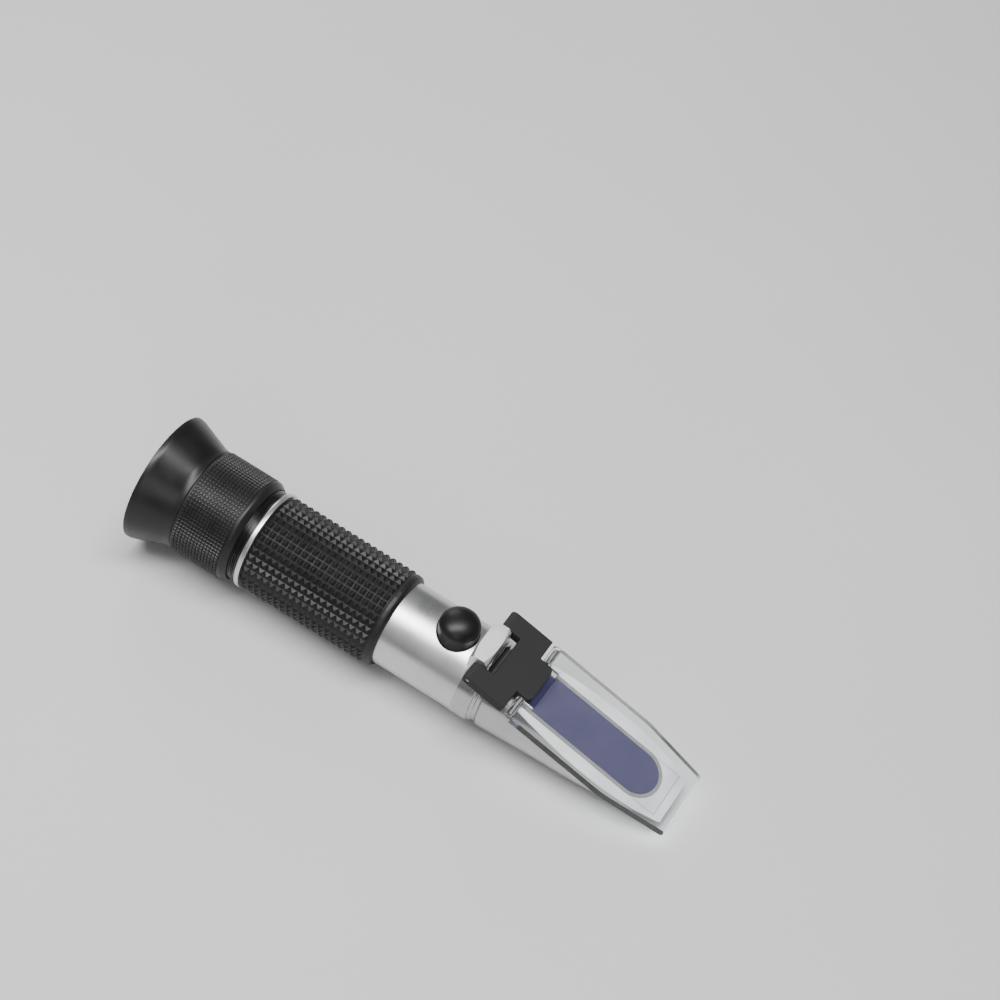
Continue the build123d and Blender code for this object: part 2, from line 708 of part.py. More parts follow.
os.makedirs("parts", exist_ok=True)
for node, make in NODES.items():
    export_step(make(), f"parts/{node}.step")
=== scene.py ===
"""Studio model of a handheld refractometer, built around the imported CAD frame."""
import json
import math

import bmesh
import bpy
from mathutils import Matrix, Vector


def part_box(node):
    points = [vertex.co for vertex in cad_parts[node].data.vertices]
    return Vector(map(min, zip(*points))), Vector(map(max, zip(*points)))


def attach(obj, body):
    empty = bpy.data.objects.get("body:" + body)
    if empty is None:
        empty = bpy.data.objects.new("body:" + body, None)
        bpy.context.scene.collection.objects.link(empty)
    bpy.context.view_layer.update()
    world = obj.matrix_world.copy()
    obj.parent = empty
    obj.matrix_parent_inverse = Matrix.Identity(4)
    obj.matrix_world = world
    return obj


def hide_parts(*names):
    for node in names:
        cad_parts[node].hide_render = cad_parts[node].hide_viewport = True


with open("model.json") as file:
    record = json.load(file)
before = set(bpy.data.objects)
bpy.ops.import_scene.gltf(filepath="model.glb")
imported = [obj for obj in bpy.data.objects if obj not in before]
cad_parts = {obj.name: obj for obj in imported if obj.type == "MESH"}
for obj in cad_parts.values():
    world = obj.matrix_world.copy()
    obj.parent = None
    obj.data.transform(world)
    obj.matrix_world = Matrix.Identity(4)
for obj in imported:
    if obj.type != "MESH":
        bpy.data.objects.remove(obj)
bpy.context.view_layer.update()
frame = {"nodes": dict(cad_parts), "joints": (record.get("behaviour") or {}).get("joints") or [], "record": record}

# ================================================================ sizes and places, in metres
MM = 0.001
TURNS = 192            # steps round a turned piece
TAU = 2 * math.pi
ON_AXIS = 1e-7         # a smaller radius counts as a point on the axis
FAR = 30 * MM          # half width of cutters that pass right across the object


def ends(node):
    """Where a turned node starts and ends along the optical axis."""
    low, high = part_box(node)
    return low.x, high.x


def radius(node):
    """Outer radius of a node turned about the optical axis."""
    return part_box(node)[1].y


def joint(name):
    return next(j for j in frame["joints"] if j["name"] == name)


def mount(name):
    return next(m for m in frame["record"]["mounts"] if m["name"] == name)


EYECUP_REAR, EYECUP_FRONT = ends("eyecup")
EYECUP_R = radius("eyecup")
RING_REAR, RING_FRONT = ends("focus_ring")
RING_R = radius("focus_ring")
GUIDE_REAR, GUIDE_FRONT = ends("eyepiece_guide")
NECK_R = radius("eyepiece_guide")
END_RING_REAR, END_RING_FRONT = ends("grip_end_ring")
END_RING_R = radius("grip_end_ring")
GRIP_REAR, GRIP_FRONT = ends("rubber_grip")
GRIP_R = radius("rubber_grip")
TUBE_REAR, TUBE_FRONT = ends("body_tube")
TUBE_R = radius("body_tube")
HEAD_REAR, HEAD_TIP = ends("prism_head")
HEAD_R = radius("prism_head")
CAP_LOW, CAP_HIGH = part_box("calibration_cap")
CAP_X = (CAP_LOW.x + CAP_HIGH.x) / 2
CAP_R = CAP_HIGH.y

# The prism face: s runs down the face from below the hinge pin, y across, w stands off it.
GLASS_PROUD = 0.2 * MM
HINGE = Vector(joint("cover_hinge")["pos_m"])
KNUCKLE = Vector(joint("plate_levelling")["pos_m"])
NORMAL = Vector(mount("measuring_face")["axis"]).normalized()
DOWN_FACE = Vector((NORMAL.z, 0, -NORMAL.x))
FACE_POINT = Vector(mount("measuring_face")["pos_m"]) - NORMAL * GLASS_PROUD
PIN_HEIGHT = (HINGE - FACE_POINT).dot(NORMAL)
FACE_ORIGIN = HINGE - NORMAL * PIN_HEIGHT
KNUCKLE_S = (KNUCKLE - HINGE).dot(DOWN_FACE)


def on_face(s, y, w):
    return FACE_ORIGIN + DOWN_FACE * s + Vector((0, y, 0)) + NORMAL * w


def along(x, w=0.0):
    """Distance down the face of a point at a station along the axis, w off the face."""
    return (x - FACE_ORIGIN.x - NORMAL.x * w) / DOWN_FACE.x


def face_z(x):
    """Height of the metal face at a station along the axis."""
    return FACE_POINT.z - (x - FACE_POINT.x) * NORMAL.x / NORMAL.z


# ================================================================ mesh tools
def make_object(name, vertices, faces):
    mesh = bpy.data.meshes.new(name)
    mesh.from_pydata([tuple(v) for v in vertices], [], faces)
    work = bmesh.new()
    work.from_mesh(mesh)
    bmesh.ops.recalc_face_normals(work, faces=work.faces)
    work.to_mesh(mesh)
    work.free()
    item = bpy.data.objects.new(name, mesh)
    bpy.context.scene.collection.objects.link(item)
    return item


def bake(item):
    """Applies the object's modifiers to its mesh."""
    graph = bpy.context.evaluated_depsgraph_get()
    graph.update()
    mesh = bpy.data.meshes.new_from_object(item.evaluated_get(graph))
    item.modifiers.clear()
    item.data = mesh
    mesh.name = item.name
    return item


def combine(target, tool, operation):
    """Cuts, joins or intersects target with tool, and removes the tool."""
    step = target.modifiers.new("shape", "BOOLEAN")
    step.operation = operation
    step.solver = "MANIFOLD"
    step.object = tool
    bake(target)
    bpy.data.objects.remove(tool)
    return target


def cut(target, *tools):
    for tool in tools:
        combine(target, tool, "DIFFERENCE")
    return target


def smooth(item, angle=32):
    """Smooth shading, with creases kept and flat faces kept flat."""
    for face in item.data.polygons:
        face.use_smooth = True
    item.data.set_sharp_from_angle(angle=math.radians(angle))
    step = item.modifiers.new("shade", "WEIGHTED_NORMAL")
    step.keep_sharp = True
    return item


def soften(item, width, segments=3, angle=35, crease=65):
    """Rounds the edges that are sharper than the angle, and keeps creases past the crease angle."""
    step = item.modifiers.new("round", "BEVEL")
    step.width = width
    step.segments = segments
    step.limit_method = "ANGLE"
    step.angle_limit = math.radians(angle)
    bake(item)
    return smooth(item, crease)


def rounded(points, steps=5):
    """Outline whose corners are eased: each point is (a, b) or (a, b, size of the corner)."""
    out = []
    count = len(points)
    for i, point in enumerate(points):
        here = Vector(point[:2])
        if len(point) < 3:
            out.append(here)
            continue
        before = (Vector(points[i - 1][:2]) - here).normalized() * point[2]
        after = (Vector(points[(i + 1) % count][:2]) - here).normalized() * point[2]
        for k in range(steps + 1):
            t = k / steps
            out.append(here + before * (1 - t) ** 2 + after * t ** 2)
    return out


def about_x(x, r, turn):
    return Vector((x, r * math.sin(turn), r * math.cos(turn)))


def lathe(name, outline, turns=TURNS, place=about_x):
    """Closed solid turned from an outline of (distance along, radius) points."""
    vertices, rings = [], []
    for a, r in outline:
        if r < ON_AXIS:
            rings.append([len(vertices)] * turns)
            vertices.append(place(a, 0, 0))
        else:
            rings.append(list(range(len(vertices), len(vertices) + turns)))
            vertices += [place(a, r, TAU * k / turns) for k in range(turns)]
    faces = []
    for one, two in zip(rings, rings[1:] + rings[:1]):
        if one[0] == one[1] and two[0] == two[1]:
            continue
        for k in range(turns):
            n = (k + 1) % turns
            corners = [one[k], one[n], two[n], two[k]]
            faces.append(list(dict.fromkeys(corners)))
    return make_object(name, vertices, faces)


def slab(name, outline, place, low, high):
    """Flat outline of (a, b) points raised from low to high; place puts (a, b, h) in space."""
    count = len(outline)
    vertices = [place(a, b, h) for h in (low, high) for a, b in outline]
    faces = [list(range(count)), list(range(count, 2 * count))]
    for k in range(count):
        n = (k + 1) % count
        faces.append([k, n, count + n, count + k])
    return make_object(name, vertices, faces)


def face_slab(name, outline, low, high):
    return slab(name, outline, on_face, low, high)


def side_slab(name, outline, half_width):
    """Outline of (x, z) points, as wide on both sides of the middle plane."""
    return slab(name, outline, lambda x, z, y: Vector((x, y, z)), -half_width, half_width)


def cross_rod(name, centre, r, half_length, turns=48, chamfer=0.0):
    """Round bar across the middle plane, with small chamfers on its ends if asked."""
    half_outline = [(half_length, 0), (half_length, r - chamfer)]
    if chamfer:
        half_outline.append((half_length - chamfer, r))
    outline = [(-a, b) for a, b in half_outline] + half_outline[::-1]

    def place(y, r, turn):
        return centre + Vector((r * math.cos(turn), y, r * math.sin(turn)))

    return lathe(name, outline, turns, place)


def nub_sleeve(name, start, end, rows, columns, floor_r, top_r, base, top, before, after):
    """Sleeve covered with square nubs. base and top are a nub's width at its foot and at its
    top, along the axis and round it, as shares of the pitch; before and after are the
    outline's points on either side."""
    pitch = (end - start) / rows
    step = TAU / columns
    margin = (1 - base[0]) / 2
    lines = []
    for i in range(rows):
        lines += [start + pitch * (i + margin), start + pitch * (i + 1 - margin)]
    margin = (1 - base[1]) / 2
    turns = []
    for j in range(columns):
        turns += [step * (j + margin), step * (j + 1 - margin)]
    outline = list(before) + [(x, floor_r) for x in lines] + list(after)
    vertices = [about_x(x, r, turn) for x, r in outline for turn in turns]
    around = len(turns)
    first = len(before)
    faces = []
    for i in range(len(outline)):
        n = (i + 1) % len(outline)
        on_rows = first <= i < first + 2 * rows and (i - first) % 2 == 0
        for j in range(around):
            m = (j + 1) % around
            foot = [i * around + j, i * around + m, n * around + m, n * around + j]
            if not (on_rows and j % 2 == 0):
                faces.append(foot)
                continue
            middle_x = (lines[i - first] + lines[i - first + 1]) / 2
            middle_turn = (turns[j] + turns[j + 1]) / 2
            half_x = pitch * top[0] / 2
            half_turn = step * top[1] / 2
            peak = len(vertices)
            for sx, st in ((-1, -1), (-1, 1), (1, 1), (1, -1)):
                x, turn = middle_x + sx * half_x, middle_turn + st * half_turn
                vertices.append(about_x(x, top_r, turn))
            faces.append([peak, peak + 1, peak + 2, peak + 3])
            for k in range(4):
                q = (k + 1) % 4
                faces.append([foot[k], foot[q], peak + q, peak + k])
    return make_object(name, vertices, faces)


# ================================================================ material tools
# The Mix node's colour sockets share their names with its number sockets, so they go by place.
MIX_COLOUR_A, MIX_COLOUR_B, MIX_COLOUR_RESULT = 6, 7, 2


class Surface:
    """A node material with helpers; every colour and roughness varies over the surface."""

    def __init__(self, name, metallic=0.0, **sockets):
        self.material = bpy.data.materials.new(name)
        self.material.use_nodes = True
        self.tree = self.material.node_tree
        self.shader = self.tree.nodes["Principled BSDF"]
        self.shader.inputs["Metallic"].default_value = metallic
        for socket, value in sockets.items():
            self.shader.inputs[socket.replace("_", " ")].default_value = value
        self.place = self.tree.nodes.new("ShaderNodeTexCoord").outputs["Object"]

    def node(self, kind, **settings):
        made = self.tree.nodes.new(kind)
        for key, value in settings.items():
            setattr(made, key, value)
        return made

    def link(self, out, into):
        self.tree.links.new(out, into)

    def stretched(self, scale):
        mapping = self.node("ShaderNodeMapping")
        mapping.inputs["Scale"].default_value = scale
        self.link(self.place, mapping.inputs["Vector"])
        return mapping.outputs["Vector"]

    def noise(self, per_metre, detail=3.0, stretch=(1, 1, 1), rough=0.5):
        """Noise with so many features to the metre, as a factor round 0.5."""
        made = self.node("ShaderNodeTexNoise")
        made.inputs["Scale"].default_value = per_metre
        made.inputs["Detail"].default_value = detail
        made.inputs["Roughness"].default_value = rough
        self.link(self.stretched(stretch), made.inputs["Vector"])
        return made.outputs["Fac"]

    def between(self, factor, low, high, start=0.3, stop=0.7):
        made = self.node("ShaderNodeMapRange")
        made.inputs["From Min"].default_value = start
        made.inputs["From Max"].default_value = stop
        made.inputs["To Min"].default_value = low
        made.inputs["To Max"].default_value = high
        self.link(factor, made.inputs["Value"])
        return made.outputs["Result"]

    def colours(self, factor, *stops):
        """Colour ramp over the factor: stops are (position, colour)."""
        made = self.node("ShaderNodeValToRGB")
        ramp = made.color_ramp
        while len(ramp.elements) < len(stops):
            ramp.elements.new(0.5)
        for element, (position, colour) in zip(ramp.elements, stops):
            element.position = position
            element.color = (*colour, 1.0)
        self.link(factor, made.inputs["Fac"])
        return made.outputs["Color"]

    def mixed(self, factor, one, two):
        made = self.node("ShaderNodeMix", data_type="RGBA")
        self.link(factor, made.inputs["Factor"])
        self.link(one, made.inputs[MIX_COLOUR_A])
        self.link(two, made.inputs[MIX_COLOUR_B])
        return made.outputs[MIX_COLOUR_RESULT]

    def add(self, one, two, share=1.0):
        made = self.node("ShaderNodeMath", operation="MULTIPLY_ADD")
        self.link(two, made.inputs[0])
        made.inputs[1].default_value = share
        self.link(one, made.inputs[2])
        return made.outputs[0]

    def colour(self, out):
        self.link(out, self.shader.inputs["Base Color"])

    def roughness(self, out):
        self.link(out, self.shader.inputs["Roughness"])

    def bump(self, height, depth, strength=1.0):
        made = self.node("ShaderNodeBump")
        made.inputs["Distance"].default_value = depth
        made.inputs["Strength"].default_value = strength
        self.link(height, made.inputs["Height"])
        self.link(made.outputs["Normal"], self.shader.inputs["Normal"])


def grey(value, warm=0.0):
    return (value * (1 + warm), value, value * (1 - warm))


def moulded(name, shade, rough, grain, depth, lift=1.6, specular=0.5):
    """Moulded rubber or plastic: fine grain, faint blotches and a little handling shine."""
    made = Surface(name, Specular_IOR_Level=specular)
    fine = made.noise(grain, 4.0)
    broad = made.noise(140, 3.0)
    dark = made.colours(broad, (0.3, grey(shade)), (0.75, grey(shade * lift)))
    specks = made.noise(2600, 2.0)
    light = made.colours(broad, (0.0, grey(shade * 2.2, 0.02)), (1.0, grey(shade * 3.0, 0.02)))
    made.colour(made.mixed(made.between(specks, 0.0, 0.35, 0.66, 0.8), dark, light))
    worn = made.add(made.between(broad, rough - 0.06, rough + 0.06), fine, 0.08)
    made.roughness(worn)
    made.bump(fine, depth)
    return made.material


def turned_metal(name, shade, rough, lines, depth, warm=0.0):
    """Lathe-turned metal: fine rings round the optical axis, and faint smudges."""
    made = Surface(name, metallic=1.0)
    rings = made.noise(lines, 2.0, stretch=(1, 0.02, 0.02))
    smudge = made.noise(90, 4.0)
    one = made.colours(rings, (0.3, grey(shade * 0.93, warm)), (0.7, grey(shade, warm)))
    two = made.colours(rings, (0.3, grey(shade * 0.86, warm)), (0.7, grey(shade * 0.95, warm)))
    made.colour(made.mixed(made.between(smudge, 0.0, 1.0, 0.45, 0.75), one, two))
    made.roughness(made.add(made.between(smudge, rough - 0.03, rough + 0.05), rings, 0.06))
    made.bump(rings, depth)
    return made.material


def satin_face():
    """Fine bead-blasted metal of the prism's face, with small dark and bright specks."""
    made = Surface("satin_face", metallic=1.0)
    grain = made.noise(5200, 2.0)
    specks = made.noise(2300, 1.0)
    broad = made.noise(120, 3.0)
    base = made.colours(grain, (0.3, grey(0.82)), (0.7, grey(0.92)))
    dark = made.colours(broad, (0.3, grey(0.50)), (0.7, grey(0.60)))
    made.colour(made.mixed(made.between(specks, 0.0, 0.6, 0.70, 0.78), base, dark))
    made.roughness(made.add(made.between(broad, 0.36, 0.44), grain, 0.1))
    made.bump(grain, 0.01 * MM)
    return made.material


def measuring_glass():
    """Polished prism glass over a deep blue backing; away from the hinge, where the clear plate lies over it, the
    colour is painted paler as a painted reflection of the plate's haze.
    """
    made = Surface("measuring_glass", Coat_Weight=1.0, Coat_Roughness=0.03, IOR=1.6)
    split = made.node("ShaderNodeSeparateXYZ")
    made.link(made.place, split.inputs["Vector"])
    # Painted reflection: where the clear plate covers the glass, the plate's haze is painted into the glass as a
    # paler colour.
    painted_haze_share = made.between(split.outputs["X"], 0.0, 1.0, HINGE.x + 15.5 * MM, HINGE.x + 18 * MM)
    cloud = made.noise(160, 3.0)
    deep = made.colours(cloud, (0.3, (0.036, 0.036, 0.165)), (0.7, (0.044, 0.043, 0.195)))
    painted_plate_haze = made.colours(cloud, (0.3, (0.040, 0.037, 0.072)), (0.7, (0.048, 0.044, 0.084)))
    made.colour(made.mixed(painted_haze_share, deep, painted_plate_haze))
    dust = made.noise(3400, 1.0)
    film = made.between(dust, 0.0, 0.08, 0.7, 0.8)
    made.roughness(made.add(made.between(cloud, 0.10, 0.16), film))
    return made.material


def sealant():
    made = Surface("sealant_grey", Specular_IOR_Level=0.35)
    lumps = made.noise(900, 3.0)
    made.colour(made.colours(lumps, (0.3, grey(0.12, 0.02)), (0.7, grey(0.16, 0.02))))
    made.roughness(made.between(lumps, 0.45, 0.65))
    made.bump(lumps, 0.03 * MM)
    return made.material


def let_lamps_through(made, tint):
    """Clear material that bends what is seen through it but casts only a faint shadow."""
    path = made.node("ShaderNodeLightPath")
    clear = made.node("ShaderNodeBsdfTransparent")
    clear.inputs["Color"].default_value = (*tint, 1.0)
    mix = made.node("ShaderNodeMixShader")
    made.link(path.outputs["Is Shadow Ray"], mix.inputs["Fac"])
    made.link(made.shader.outputs["BSDF"], mix.inputs[1])
    made.link(clear.outputs["BSDF"], mix.inputs[2])
    made.link(mix.outputs["Shader"], made.tree.nodes["Material Output"].inputs["Surface"])


def clear_plastic():
    """Clear acrylic with faint haze and rubbing marks."""
    made = Surface("clear_acrylic", Transmission_Weight=1.0, IOR=1.49)
    haze = made.noise(260, 3.0)
    rubs = made.noise(900, 4.0, stretch=(0.15, 1, 1))
    made.colour(made.colours(haze, (0.3, (0.93, 0.95, 0.96)), (0.7, (0.97, 0.98, 0.985))))
    rubbed = made.between(rubs, 0.0, 0.015, 0.65, 0.85)
    made.roughness(made.add(made.between(haze, 0.0, 0.006), rubbed))
    made.bump(rubs, 0.0005 * MM)
    let_lamps_through(made, (0.90, 0.92, 0.93))
    return made.material


def optical_glass():
    """Coated lens glass with a faint purple bloom."""
    made = Surface("optical_glass", Transmission_Weight=1.0, IOR=1.52, Coat_Weight=0.4)
    bloom = made.noise(200, 2.0)
    made.colour(made.colours(bloom, (0.3, (0.86, 0.90, 0.98)), (0.7, (0.92, 0.90, 0.99))))
    made.roughness(made.between(bloom, 0.0, 0.03))
    let_lamps_through(made, (0.85, 0.87, 0.92))
    return made.material


def rolled_metal(name, colour, rough):
    """Plain small hardware: drawn or rolled metal with a light patina."""
    made = Surface(name, metallic=1.0)
    patina = made.noise(700, 3.0)
    streak = made.noise(1800, 2.0, stretch=(0.1, 1, 1))
    darker = tuple(c * 0.72 for c in colour)
    made.colour(made.colours(patina, (0.3, darker), (0.65, colour)))
    made.roughness(made.add(made.between(patina, rough - 0.05, rough + 0.08), streak, 0.08))
    made.bump(streak, 0.004 * MM)
    return made.material


MATERIALS = {
    "eyecup_rubber": moulded("eyecup_rubber", 0.006, 0.30, 2400, 0.004 * MM, specular=0.35),
    "focus_plastic": moulded("focus_plastic", 0.007, 0.36, 3000, 0.006 * MM, specular=0.35),
    "grip_rubber": moulded("grip_rubber", 0.007, 0.42, 3200, 0.010 * MM, specular=0.35),
    "cap_rubber": moulded("cap_rubber", 0.004, 0.33, 2200, 0.001 * MM, specular=0.32),
    "seal_rubber": moulded("seal_rubber", 0.012, 0.55, 2600, 0.006 * MM),
    "bracket_plastic": moulded(
        "bracket_plastic", 0.020, 0.60, 3600, 0.008 * MM, lift=1.15, specular=0.22,
    ),
    "black_anodised": moulded("black_anodised", 0.004, 0.18, 2600, 0.001 * MM, specular=0.4),
    "satin_aluminium": turned_metal("satin_aluminium", 0.66, 0.27, 5200, 0.0015 * MM),
    "head_nickel": turned_metal("head_nickel", 0.50, 0.17, 3600, 0.001 * MM),
    "face_satin": satin_face(),
    "sealant": sealant(),
    "prism_glass": measuring_glass(),
    "clear_acrylic": clear_plastic(),
    "optical_glass": optical_glass(),
    "spring_steel": rolled_metal("spring_steel", (0.30, 0.31, 0.32), 0.36),
    "brass": rolled_metal("brass", (0.72, 0.52, 0.22), 0.26),
    "bimetal": rolled_metal("bimetal", (0.60, 0.48, 0.34), 0.34),
}
NODE_SLOTS = {part["node"]: part["material_slot"] for part in frame["record"]["subparts"]}
NODE_BODIES = {n: b for b, nodes in frame["record"]["behaviour"]["bodies"].items() for n in nodes}


def dress(item, body, slot):
    """Puts a piece on a body, with one material and no others."""
    item.data.materials.clear()
    item.data.materials.append(MATERIALS[slot])
    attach(item, body)
    return item


def fit_piece(item, node):
    """Gives a piece the material and body of the CAD node that it stands for, and hides the node."""
    dress(item, NODE_BODIES[node], NODE_SLOTS[node])
    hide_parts(node)
    return item


# ================================================================ eyepiece end
def make_eyecup():
    """Rubber funnel with a thin lip, a little full just ahead of it, on a short collar."""
    wall = 1.25 * MM
    collar_r = 15.5 * MM
    cone_end = EYECUP_REAR + 11.2 * MM
    hub_rear = EYECUP_REAR + 8.4 * MM
    hub_r = 13.43 * MM
    outline = rounded([
        (EYECUP_REAR, EYECUP_R - wall, 0.35 * MM),
        (EYECUP_REAR, EYECUP_R - 0.04 * MM, 0.12 * MM),
        (EYECUP_REAR + 0.25 * MM, EYECUP_R, 0.1 * MM),
        (EYECUP_REAR + 1.35 * MM, EYECUP_R - 0.12 * MM, 0.6 * MM),
        (cone_end, collar_r, 0.9 * MM),
        (EYECUP_FRONT - 0.1 * MM, collar_r - 0.05 * MM, 0.3 * MM),
        (EYECUP_FRONT, collar_r - 0.3 * MM),
        (EYECUP_FRONT, hub_r),
        (hub_rear, hub_r, 0.2 * MM),
    ])
    return fit_piece(smooth(lathe("eyecup_funnel", outline)), "eyecup")


def make_focus_ring():
    hub_r, hub_bore = 13.4 * MM, 9.6 * MM
    skirt_bore, thread_bore = NECK_R + 0.06 * MM, 13.26 * MM
    knurl_start = EYECUP_FRONT + 0.5 * MM
    knurl_end = RING_FRONT - 2.6 * MM
    floor_r = RING_R - 0.34 * MM
    web = EYECUP_FRONT + 0.8 * MM
    thread_end = 24.6 * MM
    before = rounded([
        (web, thread_bore),
        (web, hub_bore),
        (RING_REAR, hub_bore, 0.2 * MM),
        (RING_REAR, hub_r),
        (EYECUP_FRONT, hub_r),
        (EYECUP_FRONT, floor_r, 0.1 * MM),
    ])
    after = rounded([
        (knurl_end + 0.15 * MM, floor_r),
        (knurl_end + 0.35 * MM, RING_R - 0.12 * MM, 0.1 * MM),
        (RING_FRONT - 1.5 * MM, RING_R - 0.16 * MM, 0.35 * MM),
        (RING_FRONT - 0.35 * MM, RING_R - 0.95 * MM, 0.3 * MM),
        (RING_FRONT, RING_R - 1.25 * MM, 0.15 * MM),
        (RING_FRONT, skirt_bore, 0.1 * MM),
        (thread_end, skirt_bore),
        (thread_end, thread_bore),
    ])
    rows, columns = 15, 90
    ring = nub_sleeve(
        "focus_ring_knurled", knurl_start, knurl_end, rows, columns,
        floor_r, RING_R, (0.94, 0.86), (0.72, 0.50), before, after,
    )
    soften(ring, 0.05 * MM, 2, 30)
    return fit_piece(ring, "focus_ring")


def thread(start, end, pitch, crest, root):
    """Zigzag outline of a fine thread seen from the side."""
    points = []
    for k in range(round((end - start) / pitch)):
        x = start + k * pitch
        points += [(x, root), (x + 0.35 * pitch, crest), (x + 0.65 * pitch, crest)]
    return points


def make_eyepiece_guide():
    bore, thread_r, spigot_r = 10.5 * MM, 13.2 * MM, 11.38 * MM
    neck_rear = 27.0 * MM
    neck_thread_end = END_RING_REAR - 1.0 * MM
    outline = [(GUIDE_REAR, bore), (GUIDE_REAR, thread_r - 0.3 * MM)]
    outline += thread(GUIDE_REAR, neck_rear - 0.4 * MM, 1.0 * MM, thread_r, 12.85 * MM)
    outline += [(neck_rear, 12.9 * MM), (neck_rear, NECK_R - 0.2 * MM)]
    outline += thread(neck_rear, neck_thread_end, 0.62 * MM, NECK_R, NECK_R - 0.24 * MM)
    outline += rounded([
        (neck_thread_end, NECK_R - 0.3 * MM, 0.1 * MM),
        (END_RING_REAR - 0.5 * MM, NECK_R - 0.3 * MM, 0.1 * MM),
        (END_RING_REAR - 0.35 * MM, NECK_R, 0.08 * MM),
        (END_RING_REAR, NECK_R),
        (END_RING_REAR, spigot_r),
        (GUIDE_FRONT, spigot_r, 0.2 * MM),
        (GUIDE_FRONT, bore),
    ])
    guide = lathe("eyepiece_neck", outline)
    return fit_piece(smooth(guide, 24), "eyepiece_guide")


# ================================================================ barrel
def make_grip_end_ring():
    outline = rounded([
        (END_RING_REAR, TUBE_R),
        (END_RING_REAR, END_RING_R - 0.15 * MM, 0.3 * MM),
        (END_RING_REAR + 0.35 * MM, END_RING_R, 0.2 * MM),
        (END_RING_FRONT, END_RING_R, 0.2 * MM),
        (END_RING_FRONT, TUBE_R),
    ])
    return fit_piece(smooth(lathe("grip_end_band", outline)), "grip_end_ring")


def make_rubber_grip():
    rows, columns = 19, 40
    band = 2.7 * MM
    start, end = GRIP_REAR + 0.25 * MM, GRIP_FRONT - band
    floor_r = GRIP_R - 0.78 * MM
    inner = TUBE_R + 0.02 * MM
    before = [(GRIP_REAR, inner), (GRIP_REAR, floor_r - 0.1 * MM)]
    after = rounded([
        (end + 0.1 * MM, floor_r, 0.1 * MM),
        (end + 0.45 * MM, GRIP_R - 0.28 * MM, 0.25 * MM),
        (GRIP_FRONT - 0.75 * MM, GRIP_R - 0.34 * MM, 0.6 * MM),
        (GRIP_FRONT - 0.12 * MM, TUBE_R + 0.75 * MM, 0.35 * MM),
        (GRIP_FRONT, inner),
    ])
    grip = nub_sleeve(
        "grip_pyramids", start, end, rows, columns,
        floor_r, GRIP_R, (0.92, 0.92), (0.13, 0.13), before, after,
    )
    soften(grip, 0.07 * MM, 2, 24)
    return fit_piece(grip, "rubber_grip")


def make_body_tube():
    bore = 11.4 * MM
    outline = rounded([
        (TUBE_REAR, bore),
        (TUBE_REAR, TUBE_R),
        (TUBE_FRONT, TUBE_R, 0.12 * MM),
        (TUBE_FRONT, bore),
    ])
    return fit_piece(smooth(lathe("tube_shell", outline)), "body_tube")


def make_calibration_cap():
    """Rubber plug over the bush: tall round-topped side on a thin flange that hugs the tube."""
    socket_r = 2.66 * MM
    socket_top = 13.6 * MM
    side_r = CAP_R - 0.3 * MM
    side_top = CAP_HIGH.z - 3.3 * MM
    dome = CAP_HIGH.z - side_top
    seat_r = TUBE_R + 0.06 * MM
    turns = 144
    vertices, rings = [], []

    def ring(r, rise, height=0.0):
        """rise is measured off the tube, and height off the plane of the rings above it."""
        rings.append(list(range(len(vertices), len(vertices) + turns)))
        for k in range(turns):
            turn = TAU * k / turns
            x, y = r * math.cos(turn), r * math.sin(turn)
            z = height or math.sqrt(seat_r ** 2 - y * y) + rise
            vertices.append((CAP_X + x, y, z))

    ring(socket_r, 0, socket_top)
    ring(socket_r, 0)
    ring(CAP_R - 0.08 * MM, 0)
    ring(CAP_R, 0.08 * MM)
    ring(CAP_R, 0.34 * MM)
    ring(CAP_R - 0.1 * MM, 0.44 * MM)
    ring(side_r + 0.06 * MM, 0.5 * MM)
    ring(side_r, 0.6 * MM)
    ring(side_r, 0.9 * MM)
    steps = 28
    for k in range(steps):
        lean = math.pi / 2 * k / steps
        ring(side_r * math.cos(lean), 0, side_top + dome * math.sin(lean))
    faces = []
    for one, two in zip(rings, rings[1:]):
        for k in range(turns):
            n = (k + 1) % turns
            faces.append([one[k], one[n], two[n], two[k]])
    for edge, z in ((rings[-1], CAP_HIGH.z), (rings[0], socket_top)):
        pole = len(vertices)
        vertices.append((CAP_X, 0, z))
        faces += [[edge[k], edge[(k + 1) % turns], pole] for k in range(turns)]
    cap = make_object("cap_dome", vertices, faces)
    return fit_piece(smooth(cap, 40), "calibration_cap")


# ================================================================ prism head
def spline(points, steps):
    """Smooth curve through the points (Catmull-Rom)."""
    pads = [points[0] * 2 - points[1]] + points + [points[-1] * 2 - points[-2]]
    out = []
    for a, b, c, d in zip(pads, pads[1:], pads[2:], pads[3:]):
        for k in range(steps):
            t = k / steps
            out.append(0.5 * (2 * b + (c - a) * t + (2 * a - 5 * b + 4 * c - d) * t ** 2
                              + (3 * b - a - 3 * c + d) * t ** 3))
    return out + [points[-1]]


WINDOW_HALF = 6.45 * MM
WINDOW_END = along(159.95 * MM)
WINDOW_REAR = along(118.25 * MM)
SEAL_WIDTH = 1.1 * MM
CELL_HALF = 7.2 * MM
CELL_END = along(163.6 * MM)
CELL_REAR = along(117.8 * MM)
CELL_DEPTH = 1.7 * MM
SEAL_DEPTH = 0.8 * MM
SKIN = 0.3 * MM
SKIN_REAR = 113.0 * MM
LUG_HALF = 6.58 * MM
LUG_REAR = 101.9 * MM
LUG_FRONT = 107.2 * MM


def window_outline(grow=0.0, rear=WINDOW_REAR, steps=40):
    """Long window in the face, square at the hinge end and round at the tip end."""
    half = WINDOW_HALF + grow
    centre = WINDOW_END - WINDOW_HALF
    arc = []
    for k in range(steps + 1):
        turn = math.pi * (k / steps - 0.5)
        arc.append((centre + half * math.cos(turn), half * math.sin(turn)))
    return [(rear, -half)] + arc + [(rear, half)]


def box_outline(a0, a1, b0, b1):
    return [(a0, b0), (a1, b0), (a1, b1), (a0, b1)]


